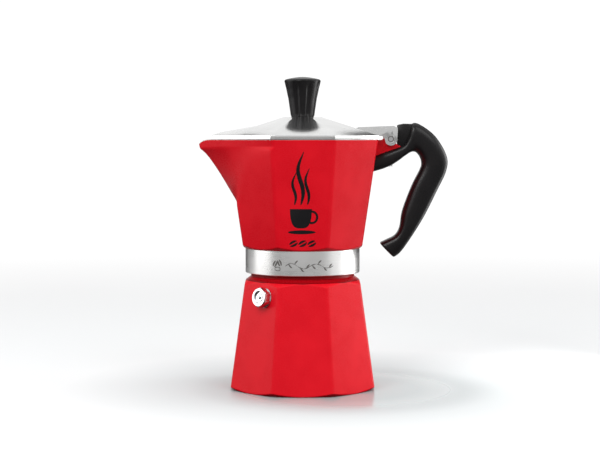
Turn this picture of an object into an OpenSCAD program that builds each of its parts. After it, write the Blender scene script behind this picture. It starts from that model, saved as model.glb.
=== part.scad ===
// Eight-sided stovetop moka pot: boiler, coffee funnel, threaded jug with spout, hinged lid and side handle.
// The origin is on the pot's axis at the table. +Z is up, +X points to the handle and -X to the spout.

/* [Boiler] */
// Width across the flats at the foot
boiler_foot_w = 100.6; // [96:0.2:124]
// Height of the eight flat sides, from the table to the shoulder
boiler_h = 76; // [60:0.5:95]
// Outer radius of the neck thread
neck_r = 36.2; // [30:0.1:40]
// Height of the neck above the shoulder
neck_h = 13.5; // [12:0.5:18]
// Thickness of the neck wall behind the thread
neck_wall = 3.9; // [3:0.1:5]
// Width of the sloped shoulder around the neck
shoulder_w = 3.8; // [3:0.1:6]
// Thickness of the boiler's side wall, at the middle of a flat
boiler_wall = 3; // [2.4:0.1:4]
// Thickness of the boiler's bottom
boiler_floor = 3.2; // [2.5:0.1:5]

/* [Thread] */
// Rise of the thread in one turn
pitch = 3; // [2.5:0.1:4]
// Height of the thread ridge
thread_depth = 0.9; // [0.6:0.1:1.2]
// Number of turns of thread
thread_turns = 3; // [2:0.5:3]
// Radial gap between the neck's ridge and the collar's ridge
thread_gap = 0.3; // [0.25:0.05:0.5]

/* [Safety valve] */
// Height of the valve's axis where it leaves the boiler
valve_z = 66; // [40:0.5:68]
// Sideways distance of the valve from the middle of its flat
valve_offset = 5; // [0:0.5:7]
// Width across the flats of the valve's hexagon
valve_af = 12.2; // [11:0.1:14]
// Distance that the valve stands out of the boiler
valve_out = 6.4; // [5.5:0.1:8]
// Radius of the threaded shank in the boiler's wall
valve_shank_r = 4.7; // [4.4:0.1:5]
// Radius of the piston's stem
piston_r = 1.1; // [0.9:0.1:1.3]

/* [Funnel and filter] */
// Depth of the coffee basket
basket_h = 27; // [22:0.5:32]
// Thickness of the funnel's sheet
funnel_wall = 1; // [0.8:0.1:1.4]
// Radius of the funnel's tube
stem_r = 5; // [4:0.1:6]
// Gap between the end of the tube and the boiler's bottom
stem_gap = 5; // [4:0.5:12]
// Gap between the basket and the neck
basket_gap = 0.4; // [0.3:0.05:0.6]
// Thickness of the rubber gasket
gasket_t = 4; // [3:0.1:5]
// Thickness of the perforated discs
disc_t = 1; // [0.8:0.1:1.4]
// Radius of the holes in the perforated discs
disc_hole_r = 0.7; // [0.5:0.05:0.9]
// Distance between the rings of holes
disc_hole_step = 5; // [4:0.1:5]

/* [Jug] */
// Height of the jug from the collar to the rim
jug_h = 76.2; // [62:0.2:95]
// Width across the flats at the rim
jug_rim_w = 104.2; // [96:0.2:126]
// Thickness of the jug's wall
jug_wall = 2.4; // [2:0.1:3]
// Thickness of the bare collar ring outside its thread
collar_wall = 2.7; // [2.4:0.1:4]
// Distance that the spout's tip stands out beyond the rim's flat
spout_out = 22.3; // [18:0.1:26]
// Height of the spout's root below the rim
spout_drop = 45; // [38:0.5:54]
// Distance that the spout's tip dips below the rim
tip_dip = 5; // [3:0.5:6]
// Radius of the coffee column at its foot
column_r = 8.5; // [7:0.1:10]
// Distance from the column's top to the rim
column_gap = 14; // [12:0.5:25]

/* [Lid and knob] */
// Height of the lid's upright edge
lid_edge = 2.4; // [2:0.1:3]
// Rise of the lid's slopes above that edge
lid_rise = 13; // [11:0.5:16]
// Thickness of the lid
lid_t = 1.8; // [1.5:0.1:2]
// Half width of the small flat top of the lid
lid_top = 13; // [11:0.5:15]
// Height of the knob
knob_h = 28; // [24:0.5:34]
// Largest radius of the knob
knob_r = 12.7; // [11:0.1:14.5]

/* [Hinge] */
// Distance from the rim's flat to the hinge pin
pin_out = 9.4; // [9:0.1:11]
// Radius of the hinge pin
pin_r = 1.5; // [1.2:0.1:1.7]
// Radial gap around the pin in the lid's ears
pin_gap = 0.05; // [0.03:0.01:0.1]
// Width of the jug's lug between the ears
lug_w = 6.2; // [5:0.1:7]
// Gap at each side of the lug
lug_gap = 0.3; // [0.2:0.05:0.5]
// Thickness of each ear
ear_t = 4; // [3:0.1:5]

/* [Handle] */
// Width of the grip
grip_w = 17; // [15:0.5:22]
// Factor on the length of the grip below the bend
grip_drop = 1; // [0.8:0.02:1.1]

/* [Hidden] */
$fn = 96;

eps = 0.02;
red = [0.84, 0.09, 0.13];
bare = [0.86, 0.85, 0.84];
steel = [0.72, 0.72, 0.73];
black = [0.13, 0.12, 0.125];
flat_angle = 180 / 8;
to_corner = 1 / cos(flat_angle);

// Boiler levels and radii
boiler_top_a = neck_r + shoulder_w;
boiler_slope = (boiler_foot_w / 2 - boiler_top_a) / boiler_h;
boiler_tilt = atan(boiler_slope);
shoulder_slope = 0.716;
neck_base_z = boiler_h + shoulder_w * shoulder_slope;
neck_top_z = neck_base_z + neck_h;
neck_root_r = neck_r - thread_depth;
neck_bore_r = neck_root_r - neck_wall;
foot_cut_in = 0.5;
foot_cut_slope = 0.6;

// Funnel and filter stack, resting on the neck
basket_r = neck_bore_r - basket_gap;
flange_r = neck_root_r - 0.7;
flange_t = 0.8;
seat_gap = 0.05;
basket_floor_z = neck_top_z - basket_h;
funnel_cone_h = 13;
stem_end_z = boiler_floor + stem_gap;
gasket_z = neck_top_z + flange_t + seat_gap;
gasket_in_r = flange_r - 6;
filter_z = gasket_z + gasket_t + seat_gap;
stack_top_z = filter_z + disc_t + seat_gap;

// Collar and jug
thread_z = neck_top_z - 1.2 - thread_turns * pitch;
collar_crest_r = neck_r + thread_gap;
collar_bore_r = collar_crest_r + thread_depth;
collar_r = collar_bore_r + collar_wall;
collar_z = neck_base_z + 2.5;
jug_z = stack_top_z;
rim_z = jug_z + jug_h;
jug_foot_a = collar_r + 1;
jug_rim_a = jug_rim_w / 2;
jug_slope = (jug_rim_a - jug_foot_a) / jug_h;
jug_floor = 3.4;
jug_cut_slope = 0.6;
column_top_z = rim_z - column_gap;
column_bore_r = 3.4;
outlet_r = 2.6;

// Spout
spout_root_z = rim_z - spout_drop;
tip_x = jug_rim_a + spout_out;
tip_z = rim_z - tip_dip;
flare_h = 4.3;
flare_out = 4;
dip_run = 9.5;
dip_r = (dip_run * dip_run + tip_dip * tip_dip) / (2 * tip_dip);
crease_share = 0.38;
spout_rows = 14;

// Hinge, with the pin level with the lid's lower edge
lid_z = rim_z + 0.1;
pin_x = jug_rim_a + pin_out;
pin_z = lid_z;
ear_r = 4.6;
ear_in = lug_w / 2 + lug_gap;
pin_len = 2 * (ear_in + ear_t) + 0.4;

// Lid
lid_a = jug_rim_a + 0.2;
lid_top_z = lid_z + lid_edge + lid_rise;
lid_slope = lid_rise / (lid_a - lid_top);
lid_drop = sqrt(1 + lid_slope * lid_slope) - lid_slope;
beak_end = 10.4;
beak_rise = 2.4;
beak_bevel = 6.5;
beak_meet = 0.52;
screw_r = 1.9;

// Thread cutter resolution: ridge rings in one turn
thread_steps = 36;

// Width across the flats, halved, at a height on each tapered octagon
function boiler_a(z) = boiler_foot_w / 2 - boiler_slope * z;
function jug_a(z) = jug_foot_a + jug_slope * (z - jug_z);

// Points of an arc
function arc(x, y, r, from, to, n) =
    [for (i = [0:n]) let(a = from + (to - from) * i / n) [x + r * cos(a), y + r * sin(a)]];

// A smooth value through a list of control points, at t from 0 to 1
function spline(p, t) =
    let(last = len(p) - 1, s = min(t * last, last - eps / 100), i = floor(s), f = s - i)
    let(a = p[max(i - 1, 0)], b = p[i], c = p[i + 1], d = p[min(i + 2, last)])
    b + 0.5 * f * ((c - a) + f * ((2 * a - 5 * b + 4 * c - d) + f * (3 * (b - c) + d - a)));

// Solid skin over rings of points, each ring listed anticlockwise seen from the last ring's side
module skin(rings) {
    n = len(rings[0]);
    last = len(rings) - 1;
    sides = [for (i = [0:last - 1], j = [0:n - 1]) let(k = (j + 1) % n)
        each [[i * n + j, (i + 1) * n + j, (i + 1) * n + k], [i * n + j, (i + 1) * n + k, i * n + k]]];
    start = [for (j = [0:n - 1]) j];
    end = [for (j = [n - 1:-1:0]) last * n + j];
    polyhedron([for (r = rings) each r], concat([start, end], sides), convexity = 6);
}

// Upright tapered octagon with its flats facing X and Y
module octagon(h, a1, a2) {
    rotate([0, 0, flat_angle])
        cylinder(h = h, r1 = a1 * to_corner, r2 = a2 * to_corner, $fn = 8);
}

// Outline in X and Z, extruded across Y
module across(w) {
    rotate([90, 0, 0])
        linear_extrude(w, center = true) children();
}

// Helical ridge of triangular section: base at r_base, crest at r_crest
module thread_ridge(r_base, r_crest) {
    steps = thread_turns * thread_steps;
    skin([for (i = [0:steps])
        let(a = 360 * i / thread_steps, z = thread_z + pitch * i / thread_steps)
        let(fade = min(1, i / 9 + 0.1, (steps - i) / 9 + 0.1), w = 0.36 * pitch * fade)
        let(r = r_base + (r_crest - r_base) * fade)
        let(low = [r_base * cos(a), r_base * sin(a), z - w], high = [r_base * cos(a), r_base * sin(a), z + w])
        let(crest = [r * cos(a), r * sin(a), z])
        r_crest > r_base ? [low, high, crest] : [low, crest, high]]);
}

// Places its children on the valve's flat of the boiler, with +Z square to the flat
module on_valve_flat() {
    rotate([0, 0, 225])
        translate([boiler_a(valve_z), valve_offset, valve_z])
            rotate([0, 90 - boiler_tilt, 0]) children();
}

// Perforated disc: a centre hole and rings of six, twelve, eighteen holes and so on
module perforated_disc(r) {
    rings = floor((r - disc_hole_step / 2) / disc_hole_step);
    linear_extrude(disc_t) difference() {
        circle(r);
        circle(disc_hole_r, $fn = 16);
        for (k = [1:rings], i = [0:6 * k - 1])
            rotate(60 * i / k) translate([k * disc_hole_step, 0]) circle(disc_hole_r, $fn = 16);
    }
}

module boiler() {
    top_r = boiler_top_a;
    corner_r = boiler_foot_w / 2 * to_corner;
    color(red) difference() {
        union() {
            intersection() {
                octagon(boiler_h + 10, boiler_a(0), boiler_a(boiler_h + 10));
                rotate_extrude() polygon([
                    [0, 0],
                    [boiler_a(0) - foot_cut_in, 0],
                    [corner_r + 1, (corner_r + 1 - boiler_a(0) + foot_cut_in) * foot_cut_slope],
                    [corner_r + 1, boiler_h - (corner_r + 1 - top_r) * shoulder_slope],
                    [neck_r, neck_base_z],
                    [0, neck_base_z]]);
            }
            translate([0, 0, neck_base_z - 1]) cylinder(h = 3.5, r = neck_r);
            translate([0, 0, neck_base_z - 1]) cylinder(h = neck_h + 1, r = neck_root_r);
            thread_ridge(neck_root_r - 0.4, neck_r);
        }
        rotate_extrude() polygon([
            [0, boiler_floor],
            [boiler_a(boiler_floor) - boiler_wall - 2, boiler_floor],
            [boiler_a(boiler_floor + 2) - boiler_wall, boiler_floor + 2],
            [boiler_a(boiler_h - 4) - boiler_wall, boiler_h - 4],
            [neck_bore_r, neck_base_z - 2],
            [neck_bore_r, neck_top_z + 1],
            [0, neck_top_z + 1]]);
        on_valve_flat() translate([0, 0, -9]) cylinder(h = 12, r = valve_shank_r);
    }
}

// The valve's parts are drawn on its own axis, with Z = 0 at the boiler's flat and +Z outwards
washer_t = 0.8;
chamber_r = 3.3;
seat_z = -4.6;
shank_z = -7;
retainer_z = valve_out - 2.4;
stem_hole_r = piston_r + 0.1;
head_t = 1.4;

module valve_washer() {
    color(steel) on_valve_flat() difference() {
        cylinder(h = washer_t, r = valve_af / 2 + 0.6);
        translate([0, 0, -1]) cylinder(h = washer_t + 2, r = valve_shank_r);
    }
}

module valve_body() {
    nose_r = valve_af / 2 * 1.1;
    color(bare) on_valve_flat() difference() {
        union() {
            translate([0, 0, shank_z]) cylinder(h = washer_t - shank_z + 1, r = valve_shank_r);
            intersection() {
                translate([0, 0, washer_t]) cylinder(h = valve_out - washer_t, r = valve_af / sqrt(3), $fn = 6);
                rotate_extrude() polygon([
                    [0, washer_t], [nose_r - 0.6, washer_t], [nose_r, washer_t + 0.6],
                    [nose_r, valve_out - 0.7], [nose_r - 0.7, valve_out], [0, valve_out]]);
            }
        }
        translate([0, 0, seat_z]) cylinder(h = valve_out - seat_z + 1, r = chamber_r);
        translate([0, 0, shank_z - 1]) cylinder(h = 10, r = stem_hole_r + 0.6);
        translate([0, 0, retainer_z]) cylinder(h = valve_out, r = chamber_r + 1.2);
    }
}

module valve_retainer() {
    color(steel) on_valve_flat() translate([0, 0, retainer_z]) difference() {
        union() {
            cylinder(h = 0.8, r = chamber_r + 1.2);
            cylinder(h = 1.6, r = chamber_r - 0.5);
        }
        translate([0, 0, -1]) cylinder(h = 4, r = stem_hole_r);
    }
}

module valve_spring() {
    wire_r = 0.28;
    coil_r = (piston_r + chamber_r) / 2;
    turns = 6;
    steps = 16;
    low = seat_z + head_t + wire_r + 0.1;
    high = retainer_z - wire_r - 0.1;
    color(steel) on_valve_flat() skin([for (i = [0:turns * steps])
        let(a = 360 * i / steps, z = low + (high - low) * i / (turns * steps))
        [for (j = [0:5]) let(r = coil_r + wire_r * cos(60 * j)) [r * cos(a), r * sin(a), z - wire_r * sin(60 * j)]]]);
}

module valve_piston() {
    color(steel) on_valve_flat() union() {
        translate([0, 0, seat_z + 0.05]) cylinder(h = head_t - 0.05, r = chamber_r - 0.4);
        translate([0, 0, seat_z + 0.5]) cylinder(h = valve_out - seat_z - 0.1, r = piston_r);
    }
}

module funnel() {
    in_r = basket_r - funnel_wall;
    cone_z = basket_floor_z - funnel_cone_h;
    color(bare) rotate_extrude() polygon([
        [stem_r - funnel_wall, stem_end_z], [stem_r, stem_end_z],
        [stem_r, cone_z], [basket_r, basket_floor_z],
        [basket_r, neck_top_z], [flange_r, neck_top_z],
        [flange_r, neck_top_z + flange_t], [in_r, neck_top_z + flange_t],
        [in_r, basket_floor_z + funnel_wall / 2],
        [stem_r - funnel_wall, cone_z + funnel_wall / 2]]);
}

module funnel_disc() {
    color(steel) translate([0, 0, basket_floor_z + funnel_wall / 2])
        perforated_disc(basket_r - funnel_wall);
}

module gasket() {
    color([0.93, 0.92, 0.88]) translate([0, 0, gasket_z]) difference() {
        cylinder(h = gasket_t, r = flange_r);
        translate([0, 0, -1]) cylinder(h = gasket_t + 2, r = gasket_in_r);
    }
}

module filter_disc() {
    color(steel) translate([0, 0, filter_z]) perforated_disc(flange_r - 0.4);
}

// One level of the jug: the octagon, with its spout side drawn out to a ridge at -X.
// Above the root, the edge between two flats leaves its corner and crosses the flat towards the front.
function ridge_x(z) =
    let(run = (z - spout_root_z) / (tip_z - spout_root_z))
    let(flare = max(0, min(1, (z - tip_z + flare_h) / flare_h)))
    jug_a(spout_root_z) + (tip_x - flare_out - jug_a(spout_root_z)) * min(run, 1) + flare_out * pow(flare, 3);
function jug_ring(z, in, in_tip) =
    let(a = jug_a(z) - in, c = a * tan(flat_angle))
    let(run = max(0, min(1, (z - spout_root_z) / spout_drop)), slide = crease_share * 2 * c * cos(45) * run)
    let(tip = run > 0 ? max(a, ridge_x(z - in_tip / 2) - in_tip) : a)
    [[a, -c, z], [a, c, z], [c, a, z], [-c, a, z], [-a + slide, c + slide, z],
     [-tip, 0, z], [-a + slide, -c - slide, z], [-c, -a, z], [c, -a, z]];
module jug_shell(low, high, in, in_tip) {
    rows = [for (i = [0:spout_rows]) spout_root_z + (rim_z - spout_root_z) * i / spout_rows];
    levels = concat([low], rows, high > rim_z ? [high] : []);
    skin([for (z = levels) [for (p = jug_ring(min(z, rim_z), in, in_tip)) [p[0], p[1], z]]]);
}

// Lug that carries the hinge pin, with a tang that runs into the handle
function lug_outline() = concat(
    [[jug_a(pin_z - 16) - 1.2, pin_z - 16], [pin_x - 5.5, pin_z - 15], [pin_x + 2.5, pin_z - 11.5],
     [pin_x + 8.2, pin_z - 8], [pin_x + 7.4, pin_z - 5], [pin_x + 3.8, pin_z - 3.2]],
    arc(pin_x, pin_z, 4.4, -10, 170, 12),
    [[pin_x - 6, pin_z - 0.4], [jug_rim_a - 1.2, pin_z - 0.4]]);

handle_screw_x = pin_x - 1.6;
handle_screw_top = pin_z - 6.5;

module jug() {
    color(red) difference() {
        union() {
            difference() {
                intersection() {
                    jug_shell(jug_z, rim_z, 0, 0);
                    translate([0, 0, jug_z]) rotate_extrude() polygon([
                        [0, 0], [collar_r, 0],
                        [collar_r + 60, 60 * jug_cut_slope], [collar_r + 60, jug_h + 1], [0, jug_h + 1]]);
                }
                jug_shell(jug_z + jug_floor, rim_z + 1, jug_wall, jug_wall * 1.35);
                spout_dip();
            }
            translate([0, 0, jug_z + jug_floor - 1])
                cylinder(h = column_top_z - jug_z - jug_floor + 1, r1 = column_r, r2 = column_r * 0.65);
            difference() {
                across(lug_w) polygon(lug_outline());
                octagon_inside();
            }
        }
        translate([0, 0, jug_z - 1]) cylinder(h = 1 + jug_floor / 2 - 0.4, r = flange_r - 4);
        translate([0, 0, jug_z]) cylinder(h = column_top_z - jug_z - 3, r = column_bore_r);
        translate([0, 0, column_top_z - 6.5]) rotate([90, 0, 0]) cylinder(h = 30, r = outlet_r, center = true);
        translate([pin_x, 0, pin_z]) rotate([90, 0, 0]) cylinder(h = lug_w + 2, r = pin_r, center = true);
        translate([handle_screw_x, 0, pin_z - 30]) cylinder(h = handle_screw_top - pin_z + 30, r = screw_r);
    }
}

// Space inside the jug that the lug must not enter
module octagon_inside() {
    translate([0, 0, jug_z]) octagon(jug_h + 5, jug_foot_a - jug_wall + eps, jug_a(rim_z + 5) - jug_wall + eps);
}

// Cut that lets the rim dip towards the spout's tip along an arc
module spout_dip() {
    bend_x = -tip_x + dip_run;
    difference() {
        translate([bend_x - 40, -20, rim_z - tip_dip - 1]) cube([40, 40, tip_dip + 5]);
        translate([bend_x, 0, rim_z - dip_r]) rotate([90, 0, 0]) cylinder(h = 50, r = dip_r, center = true);
    }
}

module collar() {
    recess_z = neck_top_z + 0.5;
    color(bare) union() {
        rotate_extrude() polygon([
            [collar_bore_r, collar_z + 0.6], [collar_bore_r + 0.6, collar_z],
            [collar_r - 0.4, collar_z], [collar_r, collar_z + 0.4], [collar_r, jug_z],
            [flange_r + 0.3, jug_z], [flange_r + 0.3, recess_z], [collar_bore_r, recess_z]]);
        thread_ridge(collar_bore_r + 0.5, collar_crest_r / cos(180 / thread_steps));
    }
}

module hinge_pin() {
    color(steel) translate([pin_x, 0, pin_z]) rotate([90, 0, 0]) cylinder(h = pin_len, r = pin_r, center = true);
}

// Inner and outer edge of the handle in X and Z, from the jug to the grip's end, about the hinge pin
handle_pairs = [
    [-12.6, -23, -11.4, -11.8], [-2, -19.7, -3, -8.6], [5, -15.6, 3.5, -6.4], [10, -11.9, 9.7, -3.4],
    [14, -9.3, 13.1, 3], [16.5, -8.8, 15.5, 11], [18.5, -9.7, 22, 9.4], [20.7, -12.6, 31.9, 1.4],
    [21.8, -16.9, 39.5, -12], [20.5, -21.5, 39.1, -22.5], [14.8, -32.9, 33.1, -35.5],
    [8.5, -49.8, 24.1, -53.6], [6.6, -61.2, 16.3, -66.5], [3.4, -67, 10, -75.8], [-2.4, -70.2, 6.4, -80.2],
    [-7.2, -72.5, 2.9, -83]];
// Half width at the same places, as a share of the grip's half width
handle_widths = [0.72, 0.76, 0.82, 0.86, 0.9, 0.94, 0.96, 1, 1, 1, 1, 1, 0.98, 0.94, 0.9, 0.88];
handle_steps = 44;
handle_sides = 20;

function handle_z(z) = z < -20 ? -20 + (z + 20) * grip_drop : z;
function power(v, p) = sign(v) * pow(abs(v), p);

module handle_bar() {
    skin([for (i = [0:handle_steps])
        let(p = spline(handle_pairs, i / handle_steps), w = grip_w / 2 * spline(handle_widths, i / handle_steps))
        let(inner = [p[0], handle_z(p[1])], outer = [p[2], handle_z(p[3])], mid = (inner + outer) / 2)
        let(reach = (outer - inner) / 2, end = i == handle_steps ? 0.86 : 1)
        [for (j = [0:handle_sides - 1])
            let(a = 360 * j / handle_sides, u = power(cos(a), 0.62) * end, v = power(sin(a), 0.62) * end)
            [pin_x + mid[0] + u * reach[0], -w * v, pin_z + mid[1] + u * reach[1]]]]);
}

module handle() {
    web_w = lug_w - 0.2;
    head_z = pin_z - 17.2;
    color(black) difference() {
        union() {
            handle_bar();
            across(web_w) polygon([
                [pin_x + 4.7, pin_z - 8], [pin_x + 4.7, pin_z + 9.9], [pin_x + 9.2, pin_z + 10.8],
                [pin_x + 17, pin_z + 10.6], [pin_x + 18, pin_z - 2], [pin_x + 12, pin_z - 8]]);
        }
        across(lug_w + 0.1) offset(delta = 0.1) polygon(lug_outline());
        translate([0, 0, jug_z])
            octagon(jug_h + 20, jug_foot_a + 0.2, jug_a(rim_z + 20) + 0.2);
        translate([handle_screw_x, 0, pin_z - 30]) cylinder(h = 40, r = screw_r);
        translate([handle_screw_x, 0, head_z - 12]) cylinder(h = 12, r = 3.4);
    }
}

module handle_screw() {
    head_z = pin_z - 17.2;
    color(steel) translate([handle_screw_x, 0, 0]) difference() {
        union() {
            translate([0, 0, head_z - 2]) cylinder(h = 2, r = 3.2);
            translate([0, 0, head_z - 1]) cylinder(h = handle_screw_top - head_z + 1, r = screw_r);
        }
        translate([-5, -0.4, head_z - 3]) cube([10, 0.8, 2]);
    }
}

// Solid outer form of the lid, drawn inwards and downwards by t for the hollow inside. The octagon's
// spout side runs on to the beak's end, and the beak is a low roof that starts part way up the lid's slope.
module lid_form(t) {
    a = lid_a - t;
    c = a * tan(flat_angle);
    top_a = lid_top - t;
    top_c = top_a * tan(flat_angle);
    slide = crease_share * 2 * c * cos(45);
    beak_x = tip_x - beak_end - t;
    beak_y = a * sqrt(2) - beak_x;
    low_z = lid_z - (t > 0 ? 1 : 0);
    edge_z = lid_z + lid_edge - t * lid_drop;
    top_z = edge_z + lid_slope * (a - top_a);
    meet = [a, c, edge_z] + ([top_a, top_c, top_z] - [a, c, edge_z]) * beak_meet;
    rim = [[a, -c], [a, c], [c, a], [-c, a], [-a + slide, c + slide],
           [-beak_x, beak_y], [-beak_x, -beak_y], [-a + slide, -c - slide], [-c, -a], [c, -a]];
    top = [[top_a, -top_c], [top_a, top_c], [top_c, top_a], [-top_c, top_a],
           [-top_a, top_c], [-top_a, -top_c], [-top_c, -top_a], [top_c, -top_a]];
    points = concat([for (p = rim) [p[0], p[1], low_z]], [for (p = rim) [p[0], p[1], edge_z]],
        [for (p = top) [p[0], p[1], top_z]],
        [[-meet[0], meet[1], meet[2]], [-meet[0], -meet[1], meet[2]], [-meet[0], 0, meet[2]],
         [beak_bevel - beak_x, 0, edge_z + beak_rise]]);
    edge = [for (j = [0:9]) let(k = (j + 1) % 10) [j, 10 + j, 10 + k, k]];
    slopes = [[10, 20, 21, 11], [11, 21, 22, 12], [12, 22, 23, 13], [13, 23, 24, 28, 14], [14, 28, 31],
              [14, 31, 15], [28, 30, 31], [24, 25, 29, 30, 28], [29, 31, 30], [15, 31, 16], [16, 31, 17],
              [31, 29, 17], [17, 29, 25, 26, 18], [18, 26, 27, 19], [19, 27, 20, 10]];
    polyhedron(points, concat([[for (j = [0:9]) j], [for (j = [27:-1:20]) j]], edge, slopes), convexity = 6);
}

// Side view of one hinge rib and its ear
function ear_outline() = concat(
    [[lid_a - 16.5, lid_z + lid_edge + lid_slope * 16.5 - 1], [lid_a - 13.5, lid_z + 8.3], [lid_a - 0.6, lid_z + 8.7],
     [pin_x + 1.9, lid_z + 9.2]],
    arc(pin_x + 1.9, pin_z + 6.2, 3, 80, 10, 5),
    arc(pin_x, pin_z, ear_r, 10, -140, 12),
    [[pin_x - 5, pin_z + 2.2], [lid_a - 0.6, pin_z + 2.2], [lid_a - 3, pin_z + 2.4]]);

module lid() {
    color(bare) difference() {
        union() {
            difference() {
                lid_form(0);
                lid_form(lid_t);
            }
            for (s = [-1, 1])
                translate([0, s * (ear_in + ear_t / 2), 0]) across(ear_t) polygon(ear_outline());
        }
        translate([pin_x, 0, pin_z]) rotate([90, 0, 0]) cylinder(h = 40, r = pin_r + pin_gap, center = true);
        translate([0, 0, lid_top_z - 8]) cylinder(h = 12, r = screw_r + 0.3);
    }
}

insert_r = 3.2;
insert_h = 12;
flutes = 8;

module knob() {
    color(black) translate([0, 0, lid_top_z]) difference() {
        rotate_extrude() polygon(concat(
            [[0, 0], [knob_r * 0.6, 0], [knob_r * 0.66, knob_h * 0.07], [knob_r * 0.72, knob_h * 0.25],
             [knob_r * 0.79, knob_h * 0.47], [knob_r * 0.9, knob_h * 0.7], [knob_r * 0.98, knob_h * 0.86]],
            [for (a = [0:15:90]) [knob_r * (0.86 + 0.14 * cos(a)) * (a < 90 ? 1 : 0), knob_h * (0.9 + 0.1 * sin(a))]]));
        for (i = [0:flutes - 1]) rotate([0, 0, 360 * (i + 0.5) / flutes])
            translate([knob_r * 1.62, 0, -1]) rotate([0, 8, 0])
                cylinder(h = knob_h + 3, r = knob_r * 0.9);
        translate([0, 0, -1]) cylinder(h = insert_h + 1, r = insert_r);
    }
}

module knob_insert() {
    color([0.78, 0.62, 0.32]) translate([0, 0, lid_top_z]) difference() {
        cylinder(h = insert_h, r = insert_r);
        translate([0, 0, -1]) cylinder(h = insert_h + 2, r = screw_r);
    }
}

lid_under_z = lid_top_z - lid_t * lid_drop;

module knob_washer() {
    color(steel) translate([0, 0, lid_under_z - 0.9]) difference() {
        cylinder(h = 0.8, r = 5);
        translate([0, 0, -1]) cylinder(h = 3, r = screw_r + 0.1);
    }
}

module knob_screw() {
    head_z = lid_under_z - 0.9;
    color(steel) difference() {
        union() {
            translate([0, 0, head_z - 2]) cylinder(h = 2, r = 3.5);
            translate([0, 0, head_z - 1]) cylinder(h = lid_top_z + insert_h - head_z, r = screw_r);
        }
        translate([-5, -0.5, head_z - 3]) cube([10, 1, 2]);
    }
}

boiler();
valve_washer();
valve_body();
valve_retainer();
valve_spring();
valve_piston();
funnel();
funnel_disc();
gasket();
filter_disc();
jug();
collar();
hinge_pin();
handle();
handle_screw();
lid();
knob();
knob_insert();
knob_screw();
knob_washer();
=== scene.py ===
# %% [markdown]
# # A stovetop moka pot
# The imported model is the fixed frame: its boxes give every level and centre used below.
# The pieces here put rounded edges, thin walls and real finishes on it, and ride on its bodies,
# so the jug still unscrews and the lid still opens.

# %% The frame and its box
from math import atan2, cos, pi, radians, sin, tan

import bpy
import numpy as np
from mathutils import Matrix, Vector


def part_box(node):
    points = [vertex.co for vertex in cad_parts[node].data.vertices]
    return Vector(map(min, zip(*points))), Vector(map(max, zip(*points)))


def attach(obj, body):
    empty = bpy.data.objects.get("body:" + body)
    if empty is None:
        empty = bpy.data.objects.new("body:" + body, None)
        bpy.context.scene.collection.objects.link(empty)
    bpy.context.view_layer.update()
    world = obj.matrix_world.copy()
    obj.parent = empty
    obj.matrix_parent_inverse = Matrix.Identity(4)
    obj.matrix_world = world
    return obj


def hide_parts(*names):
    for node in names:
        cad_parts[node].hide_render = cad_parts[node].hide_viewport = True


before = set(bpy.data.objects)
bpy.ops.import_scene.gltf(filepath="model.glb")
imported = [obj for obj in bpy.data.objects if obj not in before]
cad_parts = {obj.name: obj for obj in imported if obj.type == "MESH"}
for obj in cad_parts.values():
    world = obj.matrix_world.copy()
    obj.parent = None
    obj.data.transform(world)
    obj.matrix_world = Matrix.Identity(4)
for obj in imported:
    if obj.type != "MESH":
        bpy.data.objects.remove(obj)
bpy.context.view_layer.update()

MM = 0.001

# %% [markdown]
# ## Tidy hands
# An operator acts on all that is selected, and loading the frame leaves its nodes selected.
# So each step starts by leaving edit mode and picking only the object it works on.


# %% Selecting, merging and finishing helpers
def only(obj=None):
    """Leaves edit mode, deselects everything, then picks obj."""
    if bpy.context.mode != "OBJECT":
        bpy.ops.object.mode_set(mode="OBJECT")
    bpy.ops.object.select_all(action="DESELECT")
    if obj:
        obj.select_set(True)
        bpy.context.view_layer.objects.active = obj


def merged(obj):
    """Merges what lies on the same spot and turns all faces outwards."""
    only(obj)
    bpy.ops.object.mode_set(mode="EDIT")
    bpy.ops.mesh.select_all(action="SELECT")
    bpy.ops.mesh.remove_doubles(threshold=2e-6)
    bpy.ops.mesh.normals_make_consistent(inside=False)
    bpy.ops.object.mode_set(mode="OBJECT")
    return obj


def applied(obj, kind, **values):
    """Adds a modifier with these values and applies it."""
    only(obj)
    modifier = obj.modifiers.new(kind.lower(), kind)
    for key, value in values.items():
        setattr(modifier, key, value)
    bpy.ops.object.modifier_apply(modifier=modifier.name)
    return obj


def rounded(obj, width, segments=3, angle=25):
    """A small radius on every edge that turns by more than the angle."""
    return applied(obj, "BEVEL", width=width, segments=segments, limit_method="ANGLE",
                   angle_limit=radians(angle), harden_normals=False)


def cut(obj, cutter):
    """Takes the cutter's form out of obj, and removes the cutter."""
    applied(obj, "BOOLEAN", operation="DIFFERENCE", solver="EXACT", object=cutter)
    bpy.data.objects.remove(cutter)
    return obj


def placed(obj):
    """Puts the object's place, turn and size into its mesh."""
    only(obj)
    bpy.ops.object.transform_apply(location=True, rotation=True, scale=True)
    return obj


def finished(obj, material, body, replaces=(), angle=32):
    """Smooth shading, a material, a body to ride on and a slot, and the count of its faces."""
    placed(obj)
    bpy.ops.object.shade_smooth_by_angle(angle=radians(angle))
    obj.data.materials.clear()
    obj.data.materials.append(material)
    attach(obj, body)
    if replaces:
        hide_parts(*replaces)
    print(obj.name, len(obj.data.polygons), "faces")
    return obj


# %% [markdown]
# ## Grain
# Paint, cast metal and plastic all show a fine unevenness that a plain shader lacks. One shader
# node group makes it for all of them: a coarse cloud that shifts the colour a little, and a fine
# grain for roughness and bump. The stretch makes grain run round a turned piece as tool marks do.


# %% The grain group
def preset(node, **values):
    """Sets a node's unlinked inputs; an underscore in a name stands for a space."""
    for key, value in values.items():
        node.inputs[key.replace("_", " ")].default_value = value


def group_socket(group, name, kind, way="INPUT", value=None):
    socket = group.interface.new_socket(name=name, in_out=way, socket_type=kind)
    if value is not None:
        socket.default_value = value
    return socket


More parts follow.
